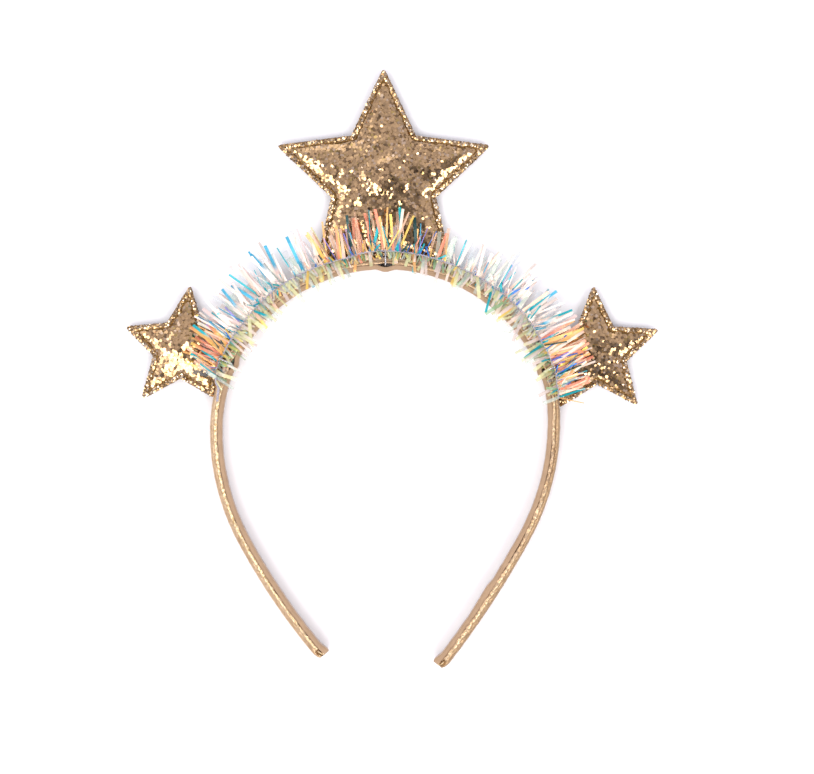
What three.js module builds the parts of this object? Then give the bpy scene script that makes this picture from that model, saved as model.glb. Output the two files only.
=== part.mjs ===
// Star tinsel headband, lying on the edge of its hoop as it would on a table.
// Millimetres, +Z up. The crown points to +Y and the two tips to -Y. The origin is on the table, under
// the middle of the whole headband.

import * as THREE from 'three';

// Driving dimensions

const CLEARANCE = 0.3;

// Hoop: the middle line starts level at the crown and turns down on both sides, in round stretches.
const CROWN_X = -3.0;
const CROWN_Y = 39.2;
const HOOP_STRETCHES = {
  left: [
    { length: 98.0, turnDegrees: 90.5 },
    { length: 41.2, turnDegrees: 27.7 },
    { length: 52.0, turnDegrees: 12.3 },
  ],
  right: [
    { length: 68.5, turnDegrees: 60.5 },
    { length: 22.2, turnDegrees: 26.5 },
    { length: 48.2, turnDegrees: 31.3 },
    { length: 57.8, turnDegrees: 10.2 },
  ],
};
const HOOP_STEP = 5.0;
const HOOP_THICK = 4.55;
const SECTION_SQUARENESS = 3;

// Band: the wrapped outer part of the hoop, with pinched tips. Rows run from each end inwards.
const BAND_THICK = 2.55;
const BAND_HIGH = 9.0;
const BAND_SIDES = 12;
const BAND_TIP = [
  { at: 0.0, thick: 1.5, high: 6.6, inward: 0.45 },
  { at: 1.0, thick: 2.2, high: 8.2, inward: 0.15 },
  { at: 3.2, thick: BAND_THICK, high: BAND_HIGH, inward: 0.0 },
];

// Lining: the strip on the inner face, flared at the tips, lifted at the ties and lapped on one leg.
const LINING_THICK = 1.7;
const LINING_HIGH = 8.2;
const LINING_SIDES = 10;
const LINING_TIP = [
  { at: 0.0, thick: 2.4, high: 6.2, inward: 0.35 },
  { at: 1.0, thick: 2.5, high: 7.6, inward: 0.45 },
  { at: 4.6, thick: LINING_THICK, high: LINING_HIGH, inward: 0.0 },
];
const LINING_LIFTS = [
  { at: -71.6, lift: 0.9, before: 3.4, after: 3.4 },
  { at: 0.5, lift: 1.0, before: 4.3, after: 4.3 },
  { at: 76.0, lift: 0.9, before: 3.4, after: 3.4 },
  { at: 162.5, lift: 0.65, before: 4.0, after: 14.0 },
];

// Stars: `reach` is the middle to a sharp tip, `waist` the share of it at an inner corner, and `turn` the
// lean to the left. The base runs along the hoop between two places, in front of the first base corner.
// `pulls` are tips sewn a little out of place.
const STAR_MID_UP = 3.4;
const STAR_TIP_CUT = 0.9;
const STAR_TIP_ROUNDNESS = 0.3;
const STAR_BASE_STEP = 5.0;
const STAR_CORNERS = 10;
const STAR_BASE_CORNERS = 3;
const STARS = [
  { name: 'centre', x: -3.2, y: 70.0, reach: 41.5, waist: 0.487, turn: 0.0, puff: 2.8,
    firstBaseCorner: 4, baseFrom: -25.4, baseTo: 25.0, pulls: [] },
  { name: 'left', x: -77.6, y: 7.7, reach: 23.0, waist: 0.48, turn: -4.2, puff: 2.3,
    firstBaseCorner: 6, baseFrom: -85.4, baseTo: -60.2,
    pulls: [{ corner: 0, x: 1.25, y: 0.5 }, { corner: 2, x: 0.0, y: -0.7 }, { corner: 4, x: -0.4, y: -1.3 }] },
  { name: 'right', x: 75.4, y: 6.1, reach: 24.9, waist: 0.463, turn: 2.3, puff: 2.3,
    firstBaseCorner: 2, baseFrom: 62.2, baseTo: 90.0, pulls: [] },
];
const RIM_EDGE_HIGH = 0.55;
const RIM_ROUND = 0.5;
const RIM_HIGH = 0.85;
const SEAM_INSET = 1.8;
const SEAM_HIGH = 0.7;
const PILLOW_ROWS = [
  { share: 0.22, rise: 0.62 },
  { share: 0.58, rise: 0.92 },
];

// Tinsel garland: a thin core beside the crown's outer front edge, laid over the band at both ends with a bare
// tail on the left, and the fringe that stands out from it. `low` is the underside of the outward strips,
// raised where a star lies behind them.
const CORE_DIAMETER = 1.0;
const CORE_SIDES = 8;
const CORE_BESIDE_BAND = 7.2;
const CORE_OVER_BAND = 9.9;
const CORE_ROWS = [
  { at: -86.4, out: 0.3, up: CORE_OVER_BAND },
  { at: -82.0, out: 0.7, up: CORE_OVER_BAND },
  { at: -79.5, out: 2.4, up: CORE_OVER_BAND },
  { at: -76.0, out: 4.1, up: CORE_BESIDE_BAND },
  { at: -70.0, out: 3.8, up: CORE_BESIDE_BAND },
  { at: -55.0, out: 3.6, up: CORE_BESIDE_BAND },
  { at: -40.0, out: 3.9, up: CORE_BESIDE_BAND },
  { at: -24.0, out: 3.4, up: CORE_BESIDE_BAND },
  { at: -15.0, out: 3.2, up: CORE_BESIDE_BAND },
  { at: -3.0, out: 4.5, up: CORE_BESIDE_BAND },
  { at: 20.0, out: 4.1, up: CORE_BESIDE_BAND },
  { at: 54.0, out: 4.3, up: CORE_BESIDE_BAND },
  { at: 68.0, out: 3.3, up: CORE_BESIDE_BAND },
  { at: 77.5, out: 3.1, up: CORE_BESIDE_BAND },
  { at: 83.0, out: 2.3, up: CORE_OVER_BAND },
  { at: 87.1, out: 2.0, up: CORE_OVER_BAND },
];
const CORE_STEP = 3.0;
const FRINGE_STEP = 4.0;
const FRINGE_OVER_BAND = 10.3;
const FRINGE_OVER_STAR = 6.6;
const FRINGE_BETWEEN_STARS = 3.0;
const FRINGE_ROWS = [
  { at: -78.5, outward: 9.0, inward: 6.0, top: 14.0, low: FRINGE_OVER_STAR },
  { at: -74.0, outward: 14.0, inward: 7.5, top: 16.5, low: FRINGE_OVER_STAR },
  { at: -68.0, outward: 15.0, inward: 7.5, top: 17.5, low: FRINGE_OVER_STAR },
  { at: -57.0, outward: 14.5, inward: 7.0, top: 17.5, low: FRINGE_OVER_STAR },
  { at: -50.0, outward: 14.5, inward: 7.0, top: 17.5, low: FRINGE_BETWEEN_STARS },
  { at: -34.0, outward: 14.0, inward: 8.0, top: 17.0, low: FRINGE_BETWEEN_STARS },
  { at: -28.0, outward: 13.0, inward: 7.5, top: 17.0, low: FRINGE_OVER_STAR },
  { at: 0.0, outward: 12.5, inward: 5.0, top: 16.0, low: FRINGE_OVER_STAR },
  { at: 28.0, outward: 12.5, inward: 6.0, top: 16.5, low: FRINGE_OVER_STAR },
  { at: 34.0, outward: 12.0, inward: 7.0, top: 16.5, low: FRINGE_BETWEEN_STARS },
  { at: 50.0, outward: 13.0, inward: 8.0, top: 17.0, low: FRINGE_BETWEEN_STARS },
  { at: 58.0, outward: 14.5, inward: 9.0, top: 17.5, low: FRINGE_OVER_STAR },
  { at: 74.0, outward: 15.5, inward: 9.0, top: 17.5, low: FRINGE_OVER_STAR },
  { at: 82.0, outward: 14.0, inward: 7.0, top: 16.5, low: FRINGE_OVER_STAR },
  { at: 87.5, outward: 9.0, inward: 4.0, top: 14.0, low: FRINGE_OVER_STAR },
];

// The fringe's profile across the hoop: shares of the row's reach, and of the way from underside to top.
const FRINGE_OUTWARD_PROFILE = [
  { reach: 0.85, rise: 0.0 },
  { reach: 1.0, rise: 0.3 },
  { reach: 0.75, rise: 0.7 },
  { reach: 0.3, rise: 0.95 },
];
const FRINGE_INWARD_PROFILE = [
  { reach: 0.5, rise: 0.75 },
  { reach: 1.0, rise: 0.35 },
  { reach: 0.85, rise: 0.0 },
];

// Ties: wires from above the core, over the band's front edge and into the slit behind the lining.
const TIE_WIRE = 0.6;
const TIE_SIDES = 8;
const TIE_STEPS = 14;
const TIE_DEPTH = 2.5;
const TIES = [
  { name: 'left', at: -71.6 },
  { name: 'centre', at: 0.5 },
  { name: 'right', at: 76.0 },
];

// Worked out from the driving dimensions

const BAND_MIDDLE = HOOP_THICK / 2 - BAND_THICK / 2;
const LINING_MIDDLE = -HOOP_THICK / 2 + LINING_THICK / 2;
const LEFT_END = -hoopSideLength('left');
const RIGHT_END = hoopSideLength('right');

// Materials

function finish(color, roughness, metalness) {
  return new THREE.MeshStandardMaterial({ color, roughness, metalness });
}

const goldLeatherette = finish(0xc79a55, 0.32, 0.7);
const tanLining = finish(0xcaa57c, 0.85, 0.0);
const goldGlitter = finish(0xa98350, 0.35, 0.8);
const greyThread = finish(0xb9b2b8, 0.5, 0.3);
const iridescentFilm = finish(0xf3d8cf, 0.15, 0.3);
const silverWire = finish(0xc4c4c8, 0.25, 1.0);

// Places along the hoop

function hoopSideLength(side) {
  return HOOP_STRETCHES[side].reduce((sum, stretch) => sum + stretch.length, 0);
}

// The middle line's point and outward direction at a distance from the crown: the left leg is negative.
function hoopAt(distance) {
  const side = distance < 0 ? -1 : 1;
  let remaining = Math.abs(distance);
  let angle = 0;
  let across = 0;
  let down = 0;
  for (const { length, turnDegrees } of HOOP_STRETCHES[side < 0 ? 'left' : 'right']) {
    const step = Math.min(remaining, length);
    const radius = length / THREE.MathUtils.degToRad(turnDegrees);
    const nextAngle = angle + step / radius;
    across += radius * (Math.sin(nextAngle) - Math.sin(angle));
    down += radius * (Math.cos(angle) - Math.cos(nextAngle));
    angle = nextAngle;
    remaining -= step;
  }
  return {
    x: CROWN_X + side * across,
    y: CROWN_Y - down,
    outX: side * Math.sin(angle),
    outY: Math.cos(angle),
  };
}

// A point `out` from the hoop's middle line, away from the head, and `up` above the table.
function besideHoop(distance, out, up) {
  const place = hoopAt(distance);
  return new THREE.Vector3(place.x + place.outX * out, place.y + place.outY * out, up);
}

// Even steps from one distance to another, ends included, with any extra places put in order.
function stations(from, to, step, extra = []) {
  const count = Math.ceil((to - from) / step);
  const even = Array.from({ length: count + 1 }, (_, i) => THREE.MathUtils.lerp(from, to, i / count));
  const kept = even.filter((place, i) =>
    i === 0 || i === count || extra.every((other) => Math.abs(other - place) > step / 4));
  return [...kept, ...extra].sort((a, b) => a - b);
}

// A table's column at a place between two of its rows, eased from row to row.
function readTable(rows, column, place) {
  const next = rows.findIndex((row) => row.at >= place);
  if (next === 0) return rows[0][column];
  if (next < 0) return rows[rows.length - 1][column];
  const before = rows[next - 1];
  const after = rows[next];
  const share = THREE.MathUtils.smoothstep(place, before.at, after.at);
  return THREE.MathUtils.lerp(before[column], after[column], share);
}

// Closed solids

function closedSolid(points, triangles) {
  const geometry = new THREE.BufferGeometry();
  geometry.setFromPoints(points);
  geometry.setIndex(triangles.flat());
  geometry.computeVertexNormals();
  return geometry;
}

// The two triangles of each quad between one ring of points and the next.
function ringToRing(first, second, count) {
  const triangles = [];
  for (let i = 0; i < count; i += 1) {
    const j = (i + 1) % count;
    triangles.push([first + i, first + j, second + i], [first + j, second + j, second + i]);
  }
  return triangles;
}

// A solid whose section, as (out, up) points turning left, is carried along the hoop and capped.
function loftAlongHoop(distances, sectionAt) {
  const sections = distances.map(sectionAt);
  const count = sections[0].length;
  const points = sections.flatMap((section, i) =>
    section.map(({ x, y }) => besideHoop(distances[i], x, y)));
  const triangles = [];
  for (let i = 0; i + 1 < sections.length; i += 1) {
    triangles.push(...ringToRing(i * count, (i + 1) * count, count));
  }
  const last = (sections.length - 1) * count;
  for (const [a, b, c] of THREE.ShapeUtils.triangulateShape(sections[0], [])) {
    triangles.push([c, b, a]);
  }
  for (const [a, b, c] of THREE.ShapeUtils.triangulateShape(sections[sections.length - 1], [])) {
    triangles.push([last + a, last + b, last + c]);
  }
  return closedSolid(points, triangles);
}

// A section with rounded corners and a narrow flat at its top and bottom, filling its full width and height.
function roundedSection(middle, thick, low, high, sides) {
  const bulge = (value) => Math.sign(value) * Math.abs(value) ** (2 / SECTION_SQUARENESS);
  const corners = Array.from({ length: sides }, (_, i) => {
    const angle = (2 * Math.PI * (i + 0.5)) / sides - Math.PI / 2;
    return new THREE.Vector2(bulge(Math.cos(angle)), bulge(Math.sin(angle)));
  });
  const widest = Math.max(...corners.map(({ x }) => x));
  const tallest = Math.max(...corners.map(({ y }) => y));
  return corners.map(({ x, y }) => new THREE.Vector2(
    middle + (thick / 2) * (x / widest),
    low + (high / 2) * (1 + y / tallest),
  ));
}

// Hoop pieces

function fromNearestEnd(distance) {
  return Math.min(distance - LEFT_END, RIGHT_END - distance);
}

const TIP_PLACES = [...BAND_TIP, ...LINING_TIP]
  .filter(({ at }) => at > 0)
  .flatMap(({ at }) => [LEFT_END + at, RIGHT_END - at])
  .filter((place, i, all) => all.indexOf(place) === i);
const LIFT_PLACES = LINING_LIFTS.flatMap(({ at, before, after }) =>
  [at - before, at - before / 2, at, at + after / 2, at + after]);
const HOOP_PLACES = stations(LEFT_END, RIGHT_END, HOOP_STEP, [...TIP_PLACES, ...LIFT_PLACES]);

function bandSection(distance) {
  const place = fromNearestEnd(distance);
  const thick = readTable(BAND_TIP, 'thick', place);
  const high = readTable(BAND_TIP, 'high', place);
  const middle = BAND_MIDDLE - readTable(BAND_TIP, 'inward', place);
  return roundedSection(middle, thick, (BAND_HIGH - high) / 2, high, BAND_SIDES);
}

function liningLift(distance) {
  return LINING_LIFTS.reduce((sum, { at, lift, before, after }) => {
    const share = Math.min(Math.abs(distance - at) / (distance < at ? before : after), 1);
    return sum + lift * Math.cos((share * Math.PI) / 2) ** 2;
  }, 0);
}

function liningSection(distance) {
  const place = fromNearestEnd(distance);
  const thick = readTable(LINING_TIP, 'thick', place);
  const high = readTable(LINING_TIP, 'high', place);
  const low = (BAND_HIGH - high) / 2;
  const middle = LINING_MIDDLE - readTable(LINING_TIP, 'inward', place) - liningLift(distance);
  return roundedSection(middle, thick, low, high, LINING_SIDES);
}

// Stars

function starCorner(star, corner) {
  const angle = THREE.MathUtils.degToRad(star.turn + (360 / STAR_CORNERS) * corner);
  const radius = corner % 2 === 0 ? star.reach : star.reach * star.waist;
  const point = new THREE.Vector2(star.x - radius * Math.sin(angle), star.y + radius * Math.cos(angle));
  const pull = star.pulls.find((row) => row.corner === corner % STAR_CORNERS);
  return pull ? point.add(pull) : point;
}

// A tip cut round: a point on either edge, and one between them pulled towards the sharp tip.
function bluntTip(star, corner) {
  const tip = starCorner(star, corner);
  const before = starCorner(star, corner - 1);
  const after = starCorner(star, corner + 1);
  const first = tip.clone().add(before.sub(tip).setLength(STAR_TIP_CUT));
  const last = tip.clone().add(after.sub(tip).setLength(STAR_TIP_CUT));
  const middle = first.clone().add(last).multiplyScalar(0.5).lerp(tip, STAR_TIP_ROUNDNESS);
  return [first, middle, last];
}

// The outline, turning left: from one base corner round the free points to the other, then along the hoop.
function starOutline(star) {
  const free = [];
  for (let step = STAR_BASE_CORNERS; step < STAR_CORNERS; step += 1) {
    const corner = star.firstBaseCorner + step;
    free.push(...(corner % 2 === 0 ? bluntTip(star, corner) : [starCorner(star, corner)]));
  }
  const base = stations(star.baseFrom, star.baseTo, STAR_BASE_STEP).map((distance) => {
    const { x, y } = besideHoop(distance, HOOP_THICK / 2 + CLEARANCE, 0);
    return new THREE.Vector2(x, y);
  });
  return [...free, ...base];
}

// Distance from a star's middle to the straight lines of its edges.
function starEdgeDistance(star) {
  const cornerTurn = (2 * Math.PI) / STAR_CORNERS;
  const inner = star.reach * star.waist;
  const edge = Math.sqrt(star.reach ** 2 + inner ** 2 - 2 * star.reach * inner * Math.cos(cornerTurn));
  return (star.reach * inner * Math.sin(cornerTurn)) / edge;
}

// One face of a star with its half of the padding: flat at the seam, a low rim, a stitched dip and a puff.
function starFace(star, side) {
  const outline = starOutline(star);
  const edgeDistance = starEdgeDistance(star);
  const rows = [
    { inset: 0, high: CLEARANCE / 2 },
    { inset: 0, high: RIM_EDGE_HIGH },
    { inset: RIM_ROUND, high: RIM_HIGH },
    { inset: SEAM_INSET, high: SEAM_HIGH },
    ...PILLOW_ROWS.map(({ share, rise }) => ({
      inset: THREE.MathUtils.lerp(SEAM_INSET, edgeDistance, share),
      high: THREE.MathUtils.lerp(SEAM_HIGH, star.puff, rise),
    })),
  ];
  const count = outline.length;
  const points = rows.flatMap(({ inset, high }) => outline.map(({ x, y }) => {
    const scale = 1 - inset / edgeDistance;
    return new THREE.Vector3(star.x + (x - star.x) * scale, star.y + (y - star.y) * scale, high);
  }));
  const seamMiddle = points.push(new THREE.Vector3(star.x, star.y, CLEARANCE / 2)) - 1;
  const puffMiddle = points.push(new THREE.Vector3(star.x, star.y, star.puff)) - 1;
  const triangles = [];
  const lastRow = (rows.length - 1) * count;
  for (let row = 0; row + 1 < rows.length; row += 1) {
    triangles.push(...ringToRing(row * count, (row + 1) * count, count));
  }
  for (let i = 0; i < count; i += 1) {
    const j = (i + 1) % count;
    triangles.push([seamMiddle, j, i], [puffMiddle, lastRow + i, lastRow + j]);
  }
  const placed = points.map(({ x, y, z }) => new THREE.Vector3(x, y, STAR_MID_UP + side * z));
  const facingOut = side > 0 ? triangles : triangles.map(([a, b, c]) => [c, b, a]);
  return closedSolid(placed, facingOut);
}

// Tinsel garland

function circle(diameter, sides) {
  const corners = Array.from({ length: sides }, (_, i) => {
    const angle = (2 * Math.PI * i) / sides;
    return new THREE.Vector2(Math.cos(angle), Math.sin(angle)).multiplyScalar(diameter / 2);
  });
  return new THREE.Shape(corners);
}

function tubeThrough(points, diameter, sides, steps) {
  const extrudePath = new THREE.CatmullRomCurve3(points);
  return new THREE.ExtrudeGeometry(circle(diameter, sides), { steps, extrudePath });
}

// Where the core's middle runs: its distance out from the hoop's middle line and its height above the table.
function coreAt(distance) {
  return { out: readTable(CORE_ROWS, 'out', distance), up: readTable(CORE_ROWS, 'up', distance) };
}

function tinselCore() {
  const ends = [CORE_ROWS[0].at, CORE_ROWS[CORE_ROWS.length - 1].at];
  const points = stations(...ends, CORE_STEP, CORE_ROWS.slice(1, 4).map(({ at }) => at)).map((place) => {
    const core = coreAt(place);
    return besideHoop(place, core.out, core.up);
  });
  return tubeThrough(points, CORE_DIAMETER, CORE_SIDES, 2 * points.length);
}

// The strips' outer form: a low fan outwards, a round top, and an overhang inwards above the band.
function fringeSection(distance) {
  const outward = readTable(FRINGE_ROWS, 'outward', distance);
  const inward = readTable(FRINGE_ROWS, 'inward', distance);
  const top = readTable(FRINGE_ROWS, 'top', distance);
  const low = readTable(FRINGE_ROWS, 'low', distance);
  const outerFace = HOOP_THICK / 2;
  const core = coreAt(distance);
  const besideCore = core.out + CORE_DIAMETER / 2 + CLEARANCE + TIE_WIRE;
  const overTie = Math.max(BAND_HIGH, core.up + CORE_DIAMETER / 2 + 3 * CLEARANCE) + TIE_WIRE;
  return [
    new THREE.Vector2(besideCore, low),
    ...FRINGE_OUTWARD_PROFILE.map(({ reach, rise }) =>
      new THREE.Vector2(outerFace + reach * outward, THREE.MathUtils.lerp(low, top, rise))),
    new THREE.Vector2(0, top),
    ...FRINGE_INWARD_PROFILE.map(({ reach, rise }) =>
      new THREE.Vector2(-outerFace - reach * inward, THREE.MathUtils.lerp(FRINGE_OVER_BAND, top, rise))),
    new THREE.Vector2(BAND_MIDDLE + TIE_WIRE, Math.max(FRINGE_OVER_BAND, overTie)),
    new THREE.Vector2(core.out, overTie),
    new THREE.Vector2(besideCore, overTie - TIE_WIRE),
  ];
}

function tinselFringe() {
  const ends = [FRINGE_ROWS[0].at, FRINGE_ROWS[FRINGE_ROWS.length - 1].at];
  return loftAlongHoop(stations(...ends, FRINGE_STEP), fringeSection);
}

function tieWire(distance) {
  const core = coreAt(distance);
  const overCore = core.up + CORE_DIAMETER / 2 + CLEARANCE + TIE_WIRE / 2;
  const overBand = BAND_HIGH + CLEARANCE + TIE_WIRE / 2;
  const bandInner = BAND_MIDDLE - BAND_THICK / 2;
  const slitMiddle = bandInner - CLEARANCE - TIE_WIRE / 2;
  const route = [
    [core.out + TIE_WIRE, overCore],
    [core.out, overCore + CLEARANCE],
    [BAND_MIDDLE + BAND_THICK / 3, overBand - CLEARANCE / 3],
    [BAND_MIDDLE, overBand],
    [bandInner, overBand - CLEARANCE],
    [slitMiddle, BAND_HIGH - CLEARANCE],
    [slitMiddle, BAND_HIGH - TIE_DEPTH],
  ];
  const points = route.map(([out, up]) => besideHoop(distance, out, up));
  return tubeThrough(points, TIE_WIRE, TIE_SIDES, TIE_STEPS);
}

// The headband

function piece(name, geometry, material) {
  const mesh = new THREE.Mesh(geometry, material);
  mesh.name = name;
  return mesh;
}

const hoop = new THREE.Group();
hoop.add(piece('band', loftAlongHoop(HOOP_PLACES, bandSection), goldLeatherette));
hoop.add(piece('lining', loftAlongHoop(HOOP_PLACES, liningSection), tanLining));

const stars = new THREE.Group();
for (const star of STARS) {
  stars.add(piece(`star_${star.name}_front`, starFace(star, 1), goldGlitter));
  stars.add(piece(`star_${star.name}_back`, starFace(star, -1), goldGlitter));
}

const garland = new THREE.Group();
garland.add(piece('tinsel_core', tinselCore(), greyThread));
garland.add(piece('tinsel_fringe', tinselFringe(), iridescentFilm));
for (const { name, at } of TIES) {
  garland.add(piece(`tie_${name}`, tieWire(at), silverWire));
}

const headband = new THREE.Group();
headband.add(hoop, stars, garland);

export default headband;
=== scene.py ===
"""Looks of a star tinsel headband: a gold wrapped hoop, three padded glitter stars and a film garland.

Metres, +Z up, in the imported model's own frame. The headband lies on its edge, with its crown to +Y and its
two tips to -Y. Places along the hoop are distances from the crown, with the left leg negative.
"""

import math

import bpy
import numpy as np
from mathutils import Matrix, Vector


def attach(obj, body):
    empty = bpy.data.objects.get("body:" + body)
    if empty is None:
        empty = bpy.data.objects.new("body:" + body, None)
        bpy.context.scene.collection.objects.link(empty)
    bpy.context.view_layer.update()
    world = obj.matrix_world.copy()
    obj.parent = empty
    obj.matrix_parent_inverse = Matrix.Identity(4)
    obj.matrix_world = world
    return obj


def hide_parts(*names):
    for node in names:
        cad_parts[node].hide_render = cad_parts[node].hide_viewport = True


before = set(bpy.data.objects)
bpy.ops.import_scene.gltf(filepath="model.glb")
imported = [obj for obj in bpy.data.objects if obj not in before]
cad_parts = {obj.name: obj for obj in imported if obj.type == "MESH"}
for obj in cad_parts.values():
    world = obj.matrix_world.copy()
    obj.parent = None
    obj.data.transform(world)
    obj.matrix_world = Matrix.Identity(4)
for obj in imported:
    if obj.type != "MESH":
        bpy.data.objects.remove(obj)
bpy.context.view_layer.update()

# Driving dimensions

MM = 0.001
BODY = "root"
UP = np.array([0.0, 0.0, 1.0])
NOISE_ROUGHNESS = 0.55


def table(columns, *rows):
    """Rows of values under named columns."""
    return [dict(zip(columns.split(), row)) for row in rows]


# Hoop: round stretches that turn down from the crown on each side, in mm and degrees
CROWN = np.array([-3.0, 39.2]) * MM
HOOP_STRETCHES = {
    -1: table("length turn", (98.0, 90.5), (41.2, 27.7), (52.0, 12.3)),
    1: table("length turn", (68.5, 60.5), (22.2, 26.5), (48.2, 31.3), (57.8, 10.2)),
}
HOOP_THICK = 4.55 * MM
HOOP_STEP = 0.4 * MM
LEFT_END = -sum(row["length"] * MM for row in HOOP_STRETCHES[-1])
RIGHT_END = sum(row["length"] * MM for row in HOOP_STRETCHES[1])

# Band: its section as (out, up, tone, groove) points turning left, in mm. The tone runs from -1 for painted
# shade in the folds to 1 for a painted highlight on the folded crest, and the groove is the share of the dip
# beside the crest.
BAND_HIGH = 9.0 * MM
BAND_MIDDLE = 1.0 * MM
BAND_SECTION = np.array([
    (0.3, 0, 0, 0), (1.55, 0, 0, 0), (2.1, 0.55, 0, 0), (2.27, 2.2, 0, 0), (2.27, 5.2, 0, 0),
    (2.22, 6.6, 0, 0), (2.06, 7.4, 0, 0), (1.76, 7.95, 0, 0), (1.38, 8.22, 0, 0.2), (1, 8.4, 0, 0.9),
    (0.78, 8.5, 0.1, 1), (0.62, 8.66, 0.5, 0.4), (0.44, 8.86, 1, 0), (0.16, 8.98, 1, 0), (-0.16, 9, 1, 0),
    (-0.42, 8.92, 0.7, 0), (-0.6, 8.76, 0, 0), (-0.62, 8.62, -0.4, 0), (-0.54, 8.4, -0.8, 0),
    (-0.46, 8.15, -1, 0), (-0.34, 7.9, -1, 0), (-0.27, 6.5, 0, 0), (-0.27, 2.5, 0, 0), (-0.15, 0.5, 0, 0),
])
SECTION_POINTS = 3
BAND_TIP = dict(
    at=np.array([0.0, 1.0, 3.2]) * MM, thick=[0.59, 0.86, 1.0], high=[0.73, 0.91, 1.0],
    inward=np.array([0.45, 0.15, 0.0]) * MM,
)
CREST_FROM = 8.2 * MM
CREST_TO = 8.8 * MM
CREST_CRINKLE = 0.09 * MM
CREST_WANDER = 0.05 * MM
# Near each end the crest drops into a recess and its colour turns to painted shade
CREST_END = 3.3 * MM
CREST_END_SOFT = 0.7 * MM
CREST_END_DROP = 1.7 * MM
# Along the hoop: how far the crest's painted highlight is dimmed, turning to painted shade past 1 as under
# the garland at the crown; how deep it is grooved on its outer side; how crinkled; how much painted shade the
# right leg's outer side gets; and how far the crest is shifted out
CREST_SHADE = dict(
    at=np.array([-180, -155, -86, -78, 76, 84, 97, 108, 114, 121, 137, 141, 145, 149, 156]) * MM,
    highlight_dimmed=[0.5, 0.1, 0.1, 1.6, 1.6, 0.1, 0.1, 0.5, 0.8, 0.2, 0.1, 0.8, 0.8, 0.1, 0],
    groove=[0, 0, 0, 0, 0, 0.7, 1, 1, 0.8, 0.5, 0.3, 0.6, 0.5, 0.1, 0],
    crinkled=[0.9, 0.7, 0.7, 0.7, 0.7, 0.8, 0.9, 1.2, 1.4, 1.4, 1.4, 1.4, 1.3, 1.3, 1.3],
    painted_side_shading=[0, 0, 0, 0, 0.5, 1, 1, 1, 1, 1, 1, 1, 1, 1, 1],
    shift=np.array([0, 0, 0, 0, 0, 0, -0.25, 0, 0.25, -0.05, 0, 0.3, 0.35, 0.1, -0.15]) * MM,
)
GROOVE_DEEP = 0.45 * MM
# Painted shade darkens the groove beside the crest
GROOVE_SHADE = 0.8
# Right leg: painted shade on the outer side, painted highlight cut on the crest's inner side, slit shade
# lighter
SIDE_SHADE_FROM = 0.3 * MM
SIDE_SHADE_TO = -0.15 * MM
SIDE_SHADE_TONE = 0.85
SIDE_SHADE_SLIT = 0.6
SKIN_CRINKLE = 0.025 * MM
LIP_FROM = 0.2 * MM
LIP_TO = -0.3 * MM
LIP_LOW = 0.5

# Tip folds: pleats that close the ends between band and lining, by middle and turn, in mm and degrees
TIP_FOLDS = table(
    "end back out long wide top turn",
    ("left", 1.7, -0.15, 2.8, 0.75, 8.8, -16),
    ("left", 0.8, 0.65, 1.7, 0.7, 8.3, -10),
    ("left", 0.65, -0.85, 2.0, 0.85, 8.2, -12),
    ("right", 1.5, 0.0, 2.7, 0.75, 8.8, -13),
    ("right", 0.65, -0.85, 2.0, 0.85, 8.2, -6),
)
TIP_FOLD_LOW = 2.4 * MM
TIP_FOLD_SQUARE = 0.35
TIP_FOLD_BLUNT = 1.02
# The pleats take the crest's painted highlight colour
TIP_FOLD_HIGHLIGHT = 0.9
TIP_FOLD_POINTS = 9
TIP_FOLD_SIDES = 12

# Lining: a strip on the inner face, flared at the tips, lifted at the ties and lapped on one leg
LINING_THICK = 1.7 * MM
LINING_HIGH = 8.2 * MM
LINING_MIDDLE = -1.425 * MM
LINING_SECTION = np.array([
    (-0.38, 0), (0.55, 0), (0.92, 0.03), (1, 0.1), (1, 0.9), (0.97, 0.975), (0.8, 1),
    (0.1, 1), (-0.5, 0.985), (-0.85, 0.95), (-1, 0.88), (-0.8, 0.12), (-0.68, 0.03),
])
LINING_TIP = dict(
    at=np.array([0.0, 0.7, 4.6]) * MM, thick=[1.2, 1.35, 1.0], high=[0.76, 0.93, 1.0],
    inward=np.array([0.4, 0.42, 0.0]) * MM,
)
# Where it is lifted at a tie or lapped, by how much, and how far before and after that place, in mm
LINING_LIFTS = table(
    "tie at lift before after",
    ("left", -71.6, 0.9, 3.4, 3.4), ("centre", 0.5, 1.0, 4.3, 4.3), ("right", 76.0, 0.9, 3.4, 3.4),
)
LINING_LAPS = table("at lift before after", (162.5, 0.6, 4.0, 14.0))
LINING_WAVE = 0.05 * MM

# Stars, in mm and degrees: `reach` is the middle to a sharp tip, `waist` the share of it at an inner corner,
# `first_base` the first of the corners that the hoop cuts off, `base` the stretch of hoop there, `pulls` are
# tips sewn a little out of place, and `bulges` are round swellings of the front
STAR_MID_UP = 3.4 * MM
STAR_CORNERS = 10
STAR_BASE_CORNERS = 3
STAR_TIP_CUT = 2.4 * MM
STAR_TIP_PULL = 1.4
STAR_TIP_POINTS = 9
STAR_BASE_OUT = HOOP_THICK / 2 + 0.3 * MM
STAR_BASE_STEP = 2.0 * MM
SEEDS_PER_STAR = 10
STARS = table(
    "name middle reach waist turn puff first_base base seed pulls bulges",
    ("centre", (-3.2, 70.0), 41.8, 0.487, 0.0, 3.1, 4, (-25.4, 25.0), 11, {},
     table("middle radius rise", ((-2.0, 73.0), 6.5, 0.9))),
    ("left", (-77.6, 7.7), 23.3, 0.48, -4.2, 2.3, 6, (-85.4, -60.2), 12,
     {0: (1.25, 0.5), 2: (0.0, -0.7), 4: (-0.4, -1.3)},
     table("middle radius rise", ((-75.0, 11.0), 5.0, 0.7))),
    ("right", (75.4, 6.1), 25.2, 0.463, 2.3, 1.8, 2, (62.2, 90.0), 13, {}, []),
)
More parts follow.
